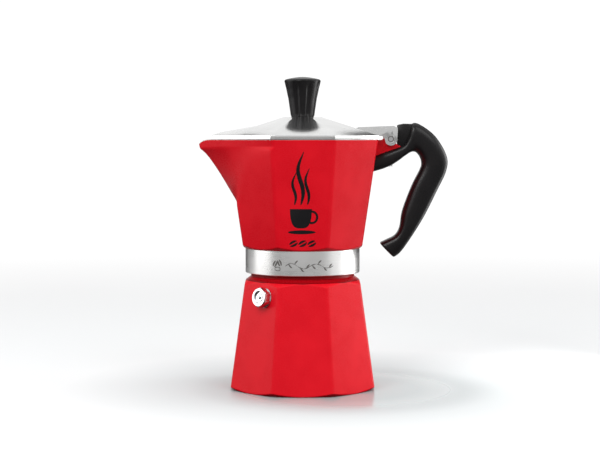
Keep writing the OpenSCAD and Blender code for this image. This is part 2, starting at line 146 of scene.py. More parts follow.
grain = bpy.data.node_groups.new("fine grain", "ShaderNodeTree")
group_socket(grain, "Stretch", "NodeSocketVector", value=(1, 1, 1))
group_socket(grain, "Fine scale", "NodeSocketFloat", value=2500)
group_socket(grain, "Cloud scale", "NodeSocketFloat", value=45)
group_socket(grain, "Low", "NodeSocketFloat", value=0.3)
group_socket(grain, "High", "NodeSocketFloat", value=0.4)
group_socket(grain, "Value", "NodeSocketFloat", "OUTPUT")
group_socket(grain, "Cloud", "NodeSocketFloat", "OUTPUT")
group_socket(grain, "Height", "NodeSocketFloat", "OUTPUT")
nodes, links = grain.nodes, grain.links
enter, leave = nodes.new("NodeGroupInput"), nodes.new("NodeGroupOutput")
place = nodes.new("ShaderNodeTexCoord")
stretch = nodes.new("ShaderNodeVectorMath"); stretch.operation = "MULTIPLY"
fine = nodes.new("ShaderNodeTexNoise"); fine.inputs["Detail"].default_value = 3
cloud = nodes.new("ShaderNodeTexNoise"); cloud.inputs["Detail"].default_value = 2
mix = nodes.new("ShaderNodeMath"); mix.operation = "MULTIPLY_ADD"
mix.inputs[1].default_value = 0.55
half = nodes.new("ShaderNodeMath"); half.operation = "MULTIPLY"; half.inputs[1].default_value = 0.45
spread = nodes.new("ShaderNodeMapRange")
links.new(place.outputs["Object"], stretch.inputs[0])
links.new(enter.outputs["Stretch"], stretch.inputs[1])
links.new(stretch.outputs[0], fine.inputs["Vector"])
links.new(enter.outputs["Fine scale"], fine.inputs["Scale"])
links.new(place.outputs["Object"], cloud.inputs["Vector"])
links.new(enter.outputs["Cloud scale"], cloud.inputs["Scale"])
links.new(cloud.outputs["Fac"], half.inputs[0])
links.new(fine.outputs["Fac"], mix.inputs[0])
links.new(half.outputs[0], mix.inputs[2])
links.new(mix.outputs[0], spread.inputs["Value"])
preset(spread, From_Min=0.3, From_Max=0.7)
links.new(enter.outputs["Low"], spread.inputs["To Min"])
links.new(enter.outputs["High"], spread.inputs["To Max"])
links.new(spread.outputs["Result"], leave.inputs["Value"])
links.new(cloud.outputs["Fac"], leave.inputs["Cloud"])
links.new(fine.outputs["Fac"], leave.inputs["Height"])
print("group", grain.name, "puts out", [s.name for s in leave.inputs if s.name])


# %% A material from the group and its own values
def finish(name, dark, light, rough, bump, depth=0.00002, stretch=(1, 1, 1), fine=2500, cloud=45,
           **shader):
    """Colour runs from dark to light with the cloud, roughness between two values with the grain."""
    material = bpy.data.materials.new(name)
    material.use_nodes = True
    nodes, links = material.node_tree.nodes, material.node_tree.links
    bsdf = nodes["Principled BSDF"]
    preset(bsdf, **shader)
    group = nodes.new("ShaderNodeGroup")
    group.node_tree = grain
    preset(group, Stretch=stretch, Fine_scale=fine, Cloud_scale=cloud, Low=rough[0], High=rough[1])
    ramp = nodes.new("ShaderNodeValToRGB")
    ramp.color_ramp.elements[0].position, ramp.color_ramp.elements[0].color = 0.35, (*dark, 1)
    ramp.color_ramp.elements[1].position, ramp.color_ramp.elements[1].color = 0.65, (*light, 1)
    relief = nodes.new("ShaderNodeBump")
    preset(relief, Strength=bump, Distance=depth)
    links.new(group.outputs["Cloud"], ramp.inputs["Fac"])
    links.new(ramp.outputs["Color"], bsdf.inputs["Base Color"])
    links.new(group.outputs["Value"], bsdf.inputs["Roughness"])
    links.new(group.outputs["Height"], relief.inputs["Height"])
    links.new(relief.outputs["Normal"], bsdf.inputs["Normal"])
    return material


# %% [markdown]
# ## Finishes
# The enamel is a satin red with a faint orange peel. The lid is polished, the collar is turned on a
# lathe so its marks run round, and the inside of a pot is left as it was cast. The grip and the
# knob are hard black plastic, a little glossy.

# %% The materials of the pot
ROUND = (1, 1, 90)
RED_PAINT = ((0.68, 0.005, 0.014), (0.74, 0.007, 0.017), (0.24, 0.32), 0.35)
enamel = finish("red enamel", *RED_PAINT, fine=1500, Specular_IOR_Level=0.10)
enamel_inner = finish("bare cast aluminium", (0.60, 0.60, 0.60), (0.74, 0.74, 0.735), (0.38, 0.55), 0.5,
                      depth=0.00004, fine=1800, Metallic=1.0)
turned_metal = finish("turned aluminium", (0.80, 0.795, 0.785), (0.90, 0.895, 0.885), (0.24, 0.36), 0.35,
                      stretch=ROUND, fine=45, Metallic=1.0)
polished = finish("polished aluminium", (0.77, 0.77, 0.765), (0.84, 0.84, 0.835), (0.13, 0.20), 0.15,
                  fine=900, Metallic=1.0)
bright_steel = finish("bright steel", (0.62, 0.62, 0.63), (0.74, 0.74, 0.75), (0.14, 0.26), 0.2,
                      fine=2200, Metallic=1.0)
plastic = finish("black plastic", (0.004, 0.0035, 0.004), (0.007, 0.006, 0.0065), (0.26, 0.36), 0.3,
                 fine=1700, Specular_IOR_Level=0.25)
rubber = finish("white rubber", (0.74, 0.72, 0.66), (0.80, 0.78, 0.72), (0.55, 0.7), 0.4, fine=1300)
brass = finish("brass", (0.62, 0.40, 0.14), (0.74, 0.50, 0.20), (0.22, 0.34), 0.3, fine=1500, Metallic=1.0)
ink = finish("black print", (0.006, 0.006, 0.007), (0.012, 0.011, 0.012), (0.40, 0.5), 0.2, fine=1500,
             Specular_IOR_Level=0.15)
# Used for the real engraved sprig, and also for the painted shade in a dark ring round each end of the hinge
# pin
engraving_and_pin_shade = finish("engraved line", (0.10, 0.095, 0.09), (0.16, 0.15, 0.145), (0.45, 0.6), 0.2, fine=1500,
                  Metallic=0.4)
print("materials", sorted(m.name for m in bpy.data.materials if m.users or m.use_nodes))

# %% [markdown]
# The turned shoulder under the collar lies in the collar's shade and reads much darker than the flats.
# The boiler's enamel has a second, darker colour for it, painted shade which runs up the shoulder
# and shows where the attribute "turned" is set.

# %% The boiler's enamel, with painted shade on its shoulder
SHOULDER_FROM, SHOULDER_TO = 73.5 * MM, 79.5 * MM
shaded_enamel = finish("red enamel, painted shade on turned shoulder", *RED_PAINT, fine=1500, Specular_IOR_Level=0.10)
nodes, links = shaded_enamel.node_tree.nodes, shaded_enamel.node_tree.links
shoulder_shade_mask, painted_shade_mix = nodes.new("ShaderNodeAttribute"), nodes.new("ShaderNodeMix")
height, drop = nodes.new("ShaderNodeTexCoord"), nodes.new("ShaderNodeSeparateXYZ")
painted_shade_ramp = nodes.new("ShaderNodeValToRGB")
low_end = nodes.new("ShaderNodeMapRange")
shoulder_shade_mask.attribute_name = "turned"
painted_shade_mix.data_type = "RGBA"
preset(low_end, From_Min=SHOULDER_FROM, From_Max=SHOULDER_TO)
tones = painted_shade_ramp.color_ramp.elements
# Painted shade up the shoulder: darkest low down under the collar, lighter towards the neck
for at, tone in ((0.0, (0.10, 0.001, 0.002)), (0.35, (0.08, 0.001, 0.002)), (0.55, (0.30, 0.002, 0.005)),
                 (0.75, (0.46, 0.003, 0.008)), (1.0, (0.34, 0.003, 0.006))):
    stop = tones.new(at) if 0 < at < 1 else tones[-1 if at else 0]
    stop.color = (*tone, 1)
links.new(height.outputs["Object"], drop.inputs[0])
links.new(drop.outputs["Z"], low_end.inputs["Value"])
links.new(low_end.outputs["Result"], painted_shade_ramp.inputs["Fac"])
links.new(shoulder_shade_mask.outputs["Fac"], painted_shade_mix.inputs["Factor"])
links.new(nodes["Color Ramp"].outputs["Color"], painted_shade_mix.inputs["A"])
links.new(painted_shade_ramp.outputs["Color"], painted_shade_mix.inputs["B"])
links.new(painted_shade_mix.outputs["Result"], nodes["Principled BSDF"].inputs["Base Color"])
print(shaded_enamel.name, "has", len(tones), "tones up the shoulder")

# %% [markdown]
# ## Levels from the frame
# The neck's top, the collar, the hinge pin and the knob are read from the boxes of the packed
# nodes, so the new pieces meet the ones that stay. A box can't give the flats, the cone of the
# shoulder or the spout, so those sizes are named here.

# %% Levels and centres
neck_top_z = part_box("boiler")[1].z
collar_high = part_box("collar")[1]
pin_low, pin_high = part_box("hinge_pin")
knob_low, knob_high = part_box("knob")
foot_a = 50.3 * MM
boiler_lean = 10.3 / 76
shoulder_z, shoulder_r = 76 * MM, 40 * MM
cone_slope, foot_slope = 0.716, 0.6
neck_r = 36.2 * MM
neck_base_z = shoulder_z + (shoulder_r - neck_r) * cone_slope
jug_z = collar_high.z
collar_r = collar_high.x
JUG_H = 76.2 * MM
rim_z = jug_z + JUG_H
rim_a, jug_foot_a = 52.1 * MM, collar_r + 1 * MM
jug_lean = (rim_a - jug_foot_a) / (rim_z - jug_z)
pin = (pin_low + pin_high) / 2
tip_x = 74.4 * MM
root_z = rim_z - 45 * MM
print("neck top", round(neck_top_z, 5), "jug from", round(jug_z, 5), "to", round(rim_z, 5), "pin", pin)

# %% [markdown]
# ## Wrapping a sheet
# An eight-sided casting has flats, soft corners and turned cuts that cross them in arcs. A grid is
# added and its rows are laid round the pot, ring by ring, each ring as far out as the nearest of
# the flats or the turned cut allows. A soft minimum rounds the corners where two of them meet.


# %% Rings from flats
def soft_min(a, b, k):
    h = np.clip((k - np.abs(a - b)) / k, 0, 1)
    return np.minimum(a, b) - h * h * k / 4


def flat_reach(angles, direction, distance):
    """How far out each ray meets a flat that faces a direction at a distance."""
    c = np.cos(angles - direction)
    return np.where(c > 0.15, distance / np.maximum(c, 0.15), 1.0)


def flats_reach(angles, directions, distance, soft):
    reach = np.sort([flat_reach(angles, d, distance) for d in directions], axis=0)
    return soft_min(reach[0], reach[1], soft)


def ray_angles():
    """Rays round the pot, closer together at the corners and at the spout."""
    rays = set(np.round(np.arange(0, 360, 2.25), 3))
    for k in range(8):
        rays |= set(np.round(22.5 + 45 * k + np.arange(-4.2, 4.3, 0.7), 3))
    rays |= set(np.round(180 + np.concatenate([np.arange(-20, 20.1, 1), np.arange(-3, 3.01, 0.3)]), 3))
    rays = sorted(rays)
    kept = [rays[0]] + [b for a, b in zip(rays, rays[1:]) if b - a > 0.12]
    return np.radians(kept)


ANGLES = ray_angles()
EIGHT = [k * pi / 4 for k in range(8)]
CORNER_SOFT = 1.4 * MM
print(len(ANGLES), "rays")


def wrapped(name, rings, closed=False):
    """A grid whose rows are laid on the rings. It closes where a ring is a point or meets the first."""
    rings = [np.asarray(r) for r in rings] + ([np.asarray(rings[0])] if closed else [])
    rows, columns = len(rings), len(rings[0])
    only()
    bpy.ops.mesh.primitive_grid_add(x_subdivisions=columns, y_subdivisions=rows - 1, size=1)
    obj = bpy.context.object
    obj.name = name
    points = np.array([np.vstack([r, r[:1]]) for r in rings]).reshape(-1, 3)
    assert len(points) == len(obj.data.vertices), (len(points), len(obj.data.vertices))
    obj.data.vertices.foreach_set("co", points.ravel().astype(np.float32))
    obj.data.update()
    return merged(obj)


def ring(radii, z, angles=None):
    angles = ANGLES if angles is None else angles
    radii = np.broadcast_to(radii, angles.shape)
    return np.stack([radii * np.cos(angles), radii * np.sin(angles), np.broadcast_to(z, angles.shape)], 1)


def turned(name, outline, closed=True, steps=144):
    """A loop drawn beside the axis and spun round it."""
    only()
    bpy.ops.mesh.primitive_circle_add(vertices=len(outline), radius=0.01)
    obj = bpy.context.object
    obj.name = name
    for vertex, (r, z) in zip(obj.data.vertices, outline):
        vertex.co = (r * MM, 0, z * MM)
    bpy.ops.object.mode_set(mode="EDIT")
    if not closed:
        bpy.ops.mesh.select_all(action="DESELECT")
        bpy.ops.object.mode_set(mode="OBJECT")
        for edge in obj.data.edges:
            edge.select = set(edge.vertices) == {0, len(outline) - 1}
        bpy.ops.object.mode_set(mode="EDIT")
        bpy.ops.mesh.delete(type="EDGE_FACE")
    bpy.ops.mesh.select_all(action="SELECT")
    bpy.ops.mesh.spin(steps=steps, angle=2 * pi, center=(0, 0, 0), axis=(0, 0, 1))
    return merged(obj)


# %% [markdown]
# ## Boiler
# The lower vessel is painted outside. Its foot and its shoulder are cut on a lathe, which leaves
# an arc at both ends of each flat. The rows are close together only where those arcs run.


# %% The boiler's painted shell
def boiler_ring(z):
    flats = flats_reach(ANGLES, EIGHT, foot_a - boiler_lean * z, CORNER_SOFT)
    top = shoulder_r + (shoulder_z - z) / cone_slope
    foot = foot_a - 0.5 * MM + z / foot_slope
    return ring(soft_min(flats, np.full_like(flats, min(top, foot)), 0.7 * MM), z)


levels = np.concatenate([np.arange(0, 3.4, 0.16), np.linspace(4, 71, 12), np.arange(72, 77, 0.16),
                         np.linspace(77.2, neck_base_z / MM, 6)]) * MM
rings = [ring(0, 1.2 * MM), ring(43 * MM, 1.2 * MM), ring(45 * MM, 0.2 * MM), ring(45.4 * MM, 0.0),
         ring(49.4 * MM, 0.0)]
rings += [boiler_ring(z) for z in levels]
hollow = [(neck_r / MM, 80.9), (36.0, 81.12), (35.6, 81.2), (34, 81), (34, 74.6), (38.5, 70.8), (46.5, 5.6),
          (43.3, 2.8), (0, 2.8)]
rings += [ring(r * MM, z * MM) for r, z in hollow]
boiler_shell = wrapped("boiler_shell", rings)
finished(boiler_shell, shaded_enamel, "boiler", ["boiler"])

# %% Where the shoulder was turned: the mask for its painted shade
shade = boiler_shell.data.attributes.new("turned", "FLOAT", "POINT")
place = np.zeros(len(boiler_shell.data.vertices) * 3)
boiler_shell.data.vertices.foreach_get("co", place)
x, y, z = place.reshape(-1, 3).T
flats = flats_reach(np.arctan2(y, x), EIGHT, 1.0, 0.001) * (foot_a - boiler_lean * z)
BLEND = 0.12 * MM
proud = (flats - np.hypot(x, y)) / BLEND
upper_part = z > 60 * MM
shade.data.foreach_set("value", (np.clip(proud, 0, 1) * upper_part).astype(np.float32))
print("turned share", round(float(np.mean(proud > 0.5)), 3))

# %% [markdown]
# Inside the boiler the casting is bare, and its neck carries the thread for the jug. The neck is
# one turned loop, and the thread is a small section that the Screw modifier winds up the neck.

# %% The bare inside and the thread
boiler_inside = turned("boiler_inside", [
    (0, 3.2), (43, 3.2), (46.2, 5.2), (38.2, 70.5), (31.4, 76.7), (31.4, 91.6), (32.0, 92.22), (34.7, 92.22),
    (35.3, 91.6), (35.3, 80.4), (34.4, 79.6), (34.4, 75), (38.8, 71), (46.8, 5.5), (43.5, 2.4), (0, 2.4)],
    closed=False)
finished(boiler_inside, enamel_inner, "boiler")
PITCH, THREAD_LOW, THREAD_TURNS = 3.0, 82.4, 3


def thread(name, root, crest, low, turns):
    """A small ridge section, wound up by the Screw modifier and closed at both ends."""
    only()
    bpy.ops.mesh.primitive_circle_add(vertices=6, radius=0.001)
    obj = bpy.context.object
    obj.name = name
    rise = crest - root
    section = [(root, -1.05), (root + rise * 0.86, -0.28), (crest, -0.12), (crest, 0.12),
               (root + rise * 0.86, 0.28), (root, 1.05)]
    for vertex, (r, z) in zip(obj.data.vertices, section):
        vertex.co = (r * MM, 0, (low + z) * MM)
    applied(obj, "SCREW", axis="Z", angle=2 * pi, screw_offset=PITCH * MM, iterations=turns, steps=72,
            render_steps=72, use_merge_vertices=False)
    bpy.ops.object.mode_set(mode="EDIT")
    bpy.ops.mesh.select_all(action="DESELECT")
    bpy.ops.mesh.select_non_manifold()
    bpy.ops.mesh.edge_face_add()
    bpy.ops.object.mode_set(mode="OBJECT")
    return merged(obj)


neck_thread = thread("neck_thread", 35.0, neck_r / MM, THREAD_LOW, THREAD_TURNS)
finished(neck_thread, enamel_inner, "boiler")

# %% [markdown]
# ## Jug
# The upper vessel widens towards its rim. Below the rim its left flat is drawn out into a V-shaped
# spout, whose rim dips towards the tip, where it flares a little. The same ring function draws the
# painted outside and, set in by the wall, the bare inside.


# %% One ring of the jug
LEFT_OPEN = [d for d in EIGHT if abs(d - pi) > 0.1]
SPOUT_H = rim_z - root_z
BEND_X = -(tip_x - 9.5 * MM)
DIP_R = (9.5 ** 2 + 5 ** 2) / 10 * MM
# The ridge of the spout: how far out it is at a height above its root, flaring at the lip
RIDGE_UP = np.array([0, 8, 16, 22, 28, 32, 35, 37, 38.4, 39.3, 40]) * MM
RIDGE_OUT = np.array([0, 4.9, 9.6, 13.3, 17.3, 20.2, 22.7, 24.9, 26.9, 28.2, 29.4]) * MM + (
    jug_foot_a + jug_lean * (root_z - jug_z))


def rim_height(x):
    run = np.clip(BEND_X - x, 0, DIP_R * 0.999)
    return rim_z - (DIP_R - np.sqrt(DIP_R ** 2 - run ** 2))


def jug_radius(angle, z, inset):
    """How far out the wall is on one ray at a height."""
    a = jug_foot_a + jug_lean * (z - jug_z)
    angle = np.array([angle])
    if z <= root_z:
        reach = flats_reach(angle, EIGHT, a - inset, CORNER_SOFT)[0]
    else:
        run = min(1, (z - root_z) / SPOUT_H)
        ridge = max(float(np.interp(z - root_z, RIDGE_UP, RIDGE_OUT)), a)
        c = a * tan(pi / 8)
        slide = 0.38 * 2 * c * cos(pi / 4) * run
        edge = Vector((-a + slide + ridge, c + slide)).normalized()
        across = Vector((-edge.y, edge.x))
        distance = abs(across.x) * ridge
        facing = atan2(abs(across.y), -abs(across.x))
        sides = [flat_reach(angle, s * facing, distance - inset)[0] for s in (1, -1)]
        wedge = soft_min(sides[0], sides[1], 1.9 * MM * run + CORNER_SOFT * (1 - run))
        reach = soft_min(flats_reach(angle, LEFT_OPEN, a - inset, CORNER_SOFT)[0], wedge, CORNER_SOFT)
    return reach


def jug_ring(share, inset, below=0.0, foot_cut=True):
    """A ring at a share of the way from the foot to the rim."""
    points = []
    for angle in ANGLES:
        x = -60 * MM if abs(angle - pi) < 1 else 0
        for _ in range(4):
            top = float(rim_height(x)) - below
            z = jug_z + share * (top - jug_z)
            r_top = jug_radius(angle, top, inset)
            x = r_top * cos(angle)
        r = jug_radius(angle, z, inset)
        if foot_cut:
            r = float(soft_min(r, collar_r - inset + (z - jug_z) / foot_slope, 0.7 * MM))
        points.append((r * cos(angle), r * sin(angle), z))
    return np.array(points)


shares = np.concatenate([np.arange(0, 4.4, 0.2) * MM / JUG_H, np.linspace(0.075, 0.39, 6),
                         np.linspace(0.42, 0.90, 16), np.linspace(0.91, 1, 16)])
hidden_shares = np.concatenate([[0.06, 0.3, 0.39], shares[shares > 0.41]])
print("jug rings", len(shares), "hidden", len(hidden_shares))

# %% [markdown]
# The painted skin ends just under the rim, where a file has left a thin bright edge. So the bare
# inside is a piece of its own that goes over the rim.

# %% The jug's painted shell and bare inside
WALL, SKIN, EDGE = 2.4 * MM, 1.3 * MM, 0.5 * MM
floor_z = jug_z + 3.4 * MM
rings = [ring(3.4 * MM, jug_z + 1.3 * MM), ring(30.6 * MM, jug_z + 1.3 * MM), ring(30.6 * MM, jug_z),
         ring(39.8 * MM, jug_z)]
rings += [jug_ring(s, 0, EDGE) for s in shares]
rings += [jug_ring(s, SKIN, EDGE, False) for s in hidden_shares[::-1]]
rings += [ring(30 * MM, floor_z - 0.5 * MM), ring(3.4 * MM, floor_z - 0.5 * MM)]
jug_shell = wrapped("jug_shell", rings, closed=True)
finished(jug_shell, enamel, "jug", ["jug"])

inner_shares = np.concatenate([[0.046], np.linspace(0.06, 0.4, 5), np.linspace(0.43, 1, 14)])
rings = [ring(3.4 * MM, floor_z - 0.4 * MM), ring(36 * MM, floor_z - 0.4 * MM)]
rings += [jug_ring(s, SKIN - 0.1 * MM, EDGE, False) for s in hidden_shares]
rings += [jug_ring(1, 0.12 * MM, EDGE, False), jug_ring(1, 0.12 * MM, 0.1 * MM, False),
          jug_ring(1, 0.4 * MM, 0, False)]
rings += [jug_ring(1, WALL - 0.3 * MM, 0, False)]
rings += [jug_ring(s, WALL, 0, False) for s in inner_shares[-2::-1]]
rings += [ring(34 * MM, floor_z), ring(3.4 * MM, floor_z)]
jug_inside = wrapped("jug_inside", rings, closed=True)
finished(jug_inside, enamel_inner, "jug")

# %% [markdown]
# ## Coffee column
# The brewed coffee climbs a tapered column in the middle of the jug and leaves by two side holes
# under its closed top.

# %% The column, turned, with its outlets cut
column = turned("coffee_column", [
    (3.4, 101.0), (9.6, 101.4), (8.9, 102.4), (8.5, 104), (5.6, 158.6), (5.2, 159.7), (4.2, 160.37),
    (0, 160.37), (0, 157.3), (3.4, 157.3)], steps=72)
only()
bpy.ops.mesh.primitive_cylinder_add(vertices=32, radius=2.6 * MM, depth=30 * MM,
                                    location=(0, 0, 153.87 * MM), rotation=(pi / 2, 0, 0))
cut(column, bpy.context.object)
finished(column, enamel_inner, "jug")

# %% [markdown]
# ## Hinge lug
# A flat lug on the jug's right flat carries the hinge pin and runs down into the handle as a tang.
# Its outline is a face that is filled, thickened and given soft edges.


# %% An outline in the side view, thickened across the pot
def side_plate(name, outline, width, soft=0.4):
    only()
    bpy.ops.mesh.primitive_circle_add(vertices=len(outline), radius=0.01, fill_type="NGON")
    obj = bpy.context.object
    obj.name = name
    for vertex, (x, z) in zip(obj.data.vertices, outline):
        vertex.co = (x * MM, -width / 2 * MM, z * MM)
    bpy.ops.object.mode_set(mode="EDIT")
    bpy.ops.mesh.select_all(action="SELECT")
    bpy.ops.mesh.extrude_region_move(TRANSFORM_OT_translate={"value": (0, width * MM, 0)})
    bpy.ops.object.mode_set(mode="OBJECT")
    merged(obj)
    return rounded(obj, soft * MM, 2, 30)


def arc(x, z, r, start, end, n):
    return [(x + r * cos(radians(start + (end - start) * i / n)),
             z + r * sin(radians(start + (end - start) * i / n))) for i in range(n + 1)]


px, pz = pin.x / MM, pin.z / MM
LUG_W = 6.2
lug_outline = [(49.0, pz - 16), (px - 5.5, pz - 15), (px + 2.5, pz - 11.5), (px + 8.2, pz - 8),
               (px + 7.4, pz - 5), (px + 3.8, pz - 3.2)]
lug_outline += arc(px, pz, 4.4, -10, 170, 12) + [(px - 6, pz - 0.6), (50.9, pz - 0.6)]
lug = side_plate("hinge_lug", lug_outline, LUG_W)
finished(lug, enamel, "jug")

# %% [markdown]
# ## Lid
# The lid's shape in the frame is right but its edges are knife sharp, which no casting has. A copy
# of its mesh is merged, its flats are joined back into single faces, and a bevel rounds the edges.


# %% The lid from a copy of its node
def merged_copy(node, name):
    only()
    obj = bpy.data.objects.new(name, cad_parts[node].data.copy())
    bpy.context.scene.collection.objects.link(obj)
    only(obj)
    bpy.ops.mesh.customdata_custom_splitnormals_clear()
    merged(obj)
    bpy.ops.object.mode_set(mode="EDIT")
    bpy.ops.mesh.select_all(action="SELECT")
    bpy.ops.mesh.dissolve_limited(angle_limit=radians(0.7))
    bpy.ops.object.mode_set(mode="OBJECT")
    return obj


lid = merged_copy("lid", "lid_form")
rounded(lid, 0.45 * MM, 3, 12)
finished(lid, polished, "lid", ["lid"], angle=28)

# %% [markdown]
# ## Knob
# The knob widens upwards from a narrow foot. Shallow flutes give the fingers hold, and they fade
# out under the rounded rim.

# %% The knob, ring by ring
knob_z, knob_h = knob_low.z, knob_high.z - knob_low.z
KNOB_R = 12.7 * MM
knob_angles = np.radians(np.arange(0, 360, 2.5))
shape = [(0.0, 0.60), (0.02, 0.64), (0.07, 0.665), (0.16, 0.69), (0.25, 0.72), (0.36, 0.755), (0.47, 0.79),
         (0.58, 0.845), (0.70, 0.90), (0.79, 0.95), (0.86, 0.985), (0.885, 1.0), (0.905, 0.997),
         (0.925, 0.97), (0.935, 0.935), (0.94, 0.90), (0.955, 0.78), (0.97, 0.62), (0.985, 0.42),
         (0.995, 0.24), (1.0, 0.08)]
rings = [ring(0.0, knob_z, knob_angles), ring(0.3 * KNOB_R, knob_z, knob_angles)]
heights = np.concatenate([np.linspace(0, 0.86, 30),
                          [0.872, 0.885, 0.895, 0.905, 0.915, 0.925, 0.93, 0.935, 0.94, 0.955, 0.97, 0.985,
                           0.995, 1.0]])
for h in heights:
    r = KNOB_R * np.interp(h, *zip(*shape))
    fade = np.clip((0.90 - h) / 0.22, 0, 1) ** 0.7
    flute = np.clip(np.cos(8 * (knob_angles - pi / 8)) - 0.1, 0, 1) ** 1.1
    rings.append(ring(r - 1.15 * MM * fade * flute, knob_z + h * knob_h, knob_angles))
rings.append(ring(0.0, knob_z + knob_h, knob_angles))
knob = wrapped("knob_form", rings)
finished(knob, plastic, "lid", ["knob"], angle=45)

# %% [markdown]
# ## Handle
# The side handle is one moulding. Pairs of points on its inner and outer edge are joined by smooth
# curves, and a rounded section follows them from the jug to the flared end of the grip.

# %% The handle's curves
pairs = np.array([
    [-12.6, -23, -11.4, -11.8], [-2, -19.7, -3, -8.6], [5, -15.6, 3.5, -6.4], [10, -11.9, 9.7, -3.4],
    [14, -9.3, 13.1, 3], [16.5, -8.8, 15.5, 11], [18.5, -9.7, 22, 9.4], [20.7, -12.6, 31.9, 1.4],
    [21.8, -16.9, 39.5, -12], [20.5, -21.5, 39.1, -22.5], [14.8, -32.9, 33.1, -35.5],
    [8.5, -49.8, 24.1, -53.6], [6.6, -61.2, 16.3, -66.5], [3.4, -67, 10, -75.8], [-2.4, -70.2, 6.4, -80.2],
    [-6.6, -72.2, 3.4, -82.4]])
widths = np.array([0.72, 0.76, 0.82, 0.86, 0.9, 0.94, 0.96, 1, 1, 1, 1, 1, 0.98, 0.94, 0.9, 0.88])


def smooth_through(points, t):
    """A value on the smooth curve through the points, t from 0 to 1."""
    last = len(points) - 1
    s = min(t * last, last - 1e-6)
    i = int(s)
    f = s - i
    a, b, c, d = points[max(i - 1, 0)], points[i], points[i + 1], points[min(i + 2, last)]
    return b + 0.5 * f * ((c - a) + f * ((2 * a - 5 * b + 4 * c - d) + f * (3 * (b - c) + d - a)))


def power(v, p):
    return np.sign(v) * np.abs(v) ** p


# %% The handle's skin and the counterbore for its screw
turn = np.radians(np.arange(0, 360, 7.5))
rings = []
STEPS = 110
for i in range(STEPS + 1):
    p, w = smooth_through(pairs, i / STEPS), 8.5 * smooth_through(widths, i / STEPS)
    inner, outer = np.array([p[0], p[1]]), np.array([p[2], p[3]])
    middle, reach = (inner + outer) / 2, (outer - inner) / 2
    u, v = power(np.cos(turn), 0.68), power(np.sin(turn), 0.68)
    away = np.array([-reach[1], reach[0]]) / np.hypot(*reach)
    ends = {0: [(0, 0), (0.9, 0), (1, 0)],
            STEPS: [(1, 0), (0.985, 0.4), (0.94, 0.8), (0.87, 1.05), (0.75, 1.2), (0.4, 1.3), (0, 1.3)]}
    for size, on in ends.get(i, [(1, 0)]):
        x, z = px + middle[0] - away[0] * on, pz + middle[1] - away[1] * on
        rings.append(np.stack([(x + u * size * reach[0]) * MM, -w * v * size * MM,
                               (z + u * size * reach[1]) * MM], 1))
handle = wrapped("handle_form", rings)
web = side_plate("web", [(px + 4.7, pz - 8), (px + 4.7, pz + 9.9), (px + 9.2, pz + 10.8),
                         (px + 17, pz + 10.6), (px + 18, pz - 2), (px + 12, pz - 8)], 6.0, soft=0.8)
only()
bpy.ops.mesh.primitive_cylinder_add(vertices=40, radius=3.4 * MM, depth=24 * MM,
                                    location=(59.9 * MM, 0, pin.z - 29.2 * MM))
cut(handle, bpy.context.object)
only(handle)
web.select_set(True)
bpy.ops.object.join()
finished(handle, plastic, "jug", ["handle"], angle=40)

# %% [markdown]
# ## Printed emblem and engraved ornament
# The front of the jug carries a black print, here a steaming cup over three beans, and the collar
# has a fine engraved sprig. Each shape is an outline, filled and given a hair's thickness, and its
# points are laid on the flat or round the collar.


# %% Outlines
def ribbon(points, widths):
    """The outline of a line that has a width at each of its points."""
    points = np.array(points, float)
    along = np.gradient(points, axis=0)
    side = np.stack([-along[:, 1], along[:, 0]], 1) / np.maximum(np.hypot(*along.T), 1e-9)[:, None]
    half = np.array(widths)[:, None] / 2
    return list(map(tuple, np.vstack([points + side * half, (points - side * half)[::-1]])))


def oval(u, v, a, b, lean=0, start=0, end=360, n=24):
    turn = np.radians(np.linspace(start, end, n, endpoint=end - start < 360))
    x, y = a * np.cos(turn), b * np.sin(turn)
    c, s = cos(radians(lean)), sin(radians(lean))
    return list(zip(u + x * c - y * s, v + x * s + y * c))


def bean(u, v, a, b, lean):
    """Two halves of a bean with a slit between them."""
    apart = 0.16 * b
    halves = []
    for k, start, end in ((1, 183, 357), (-1, 3, 177)):
        x, y = u + apart * sin(radians(lean)) * k, v - apart * cos(radians(lean)) * k
        halves.append(oval(x, y, a, b * 0.84, lean, start, end, n=14))
    return halves


def laid(name, outlines, lay):
    """Fills each outline, thickens it, lays its points on a surface and joins them all."""
    parts = []
    for outline in outlines:
        only()
        bpy.ops.mesh.primitive_circle_add(vertices=len(outline), radius=0.01, fill_type="NGON")
        part = bpy.context.object
        for vertex, (u, v) in zip(part.data.vertices, outline):
            vertex.co = (u * MM, 0, v * MM)
        bpy.ops.object.mode_set(mode="EDIT")
        bpy.ops.mesh.select_all(action="SELECT")
        bpy.ops.mesh.extrude_region_move(TRANSFORM_OT_translate={"value": (0, 1 * MM, 0)})
        bpy.ops.object.mode_set(mode="OBJECT")
        merged(part)
        for vertex in part.data.vertices:
            vertex.co = lay(vertex.co.x, vertex.co.z, vertex.co.y / MM)
        parts.append(part)
    only(parts[0])
    for part in parts:
        part.select_set(True)
    bpy.ops.object.join()
    parts[0].name = name
    return parts[0]


# %% The emblem on the front flat
def on_front(u, v, depth):
    return (u, -(jug_foot_a + jug_lean * (v - jug_z)) - (0.04 - 0.12 * depth) * MM, v)


def steam(u, low, high, sway, width):
    t = np.linspace(0, 1, 26)
    points = np.stack([u + sway * np.sin(t * 2 * pi * 1.15) * (0.55 + 0.45 * t), low + (high - low) * t], 1)
    return ribbon(points, width * (0.12 + np.sin(pi * t ** 0.8) ** 0.8))


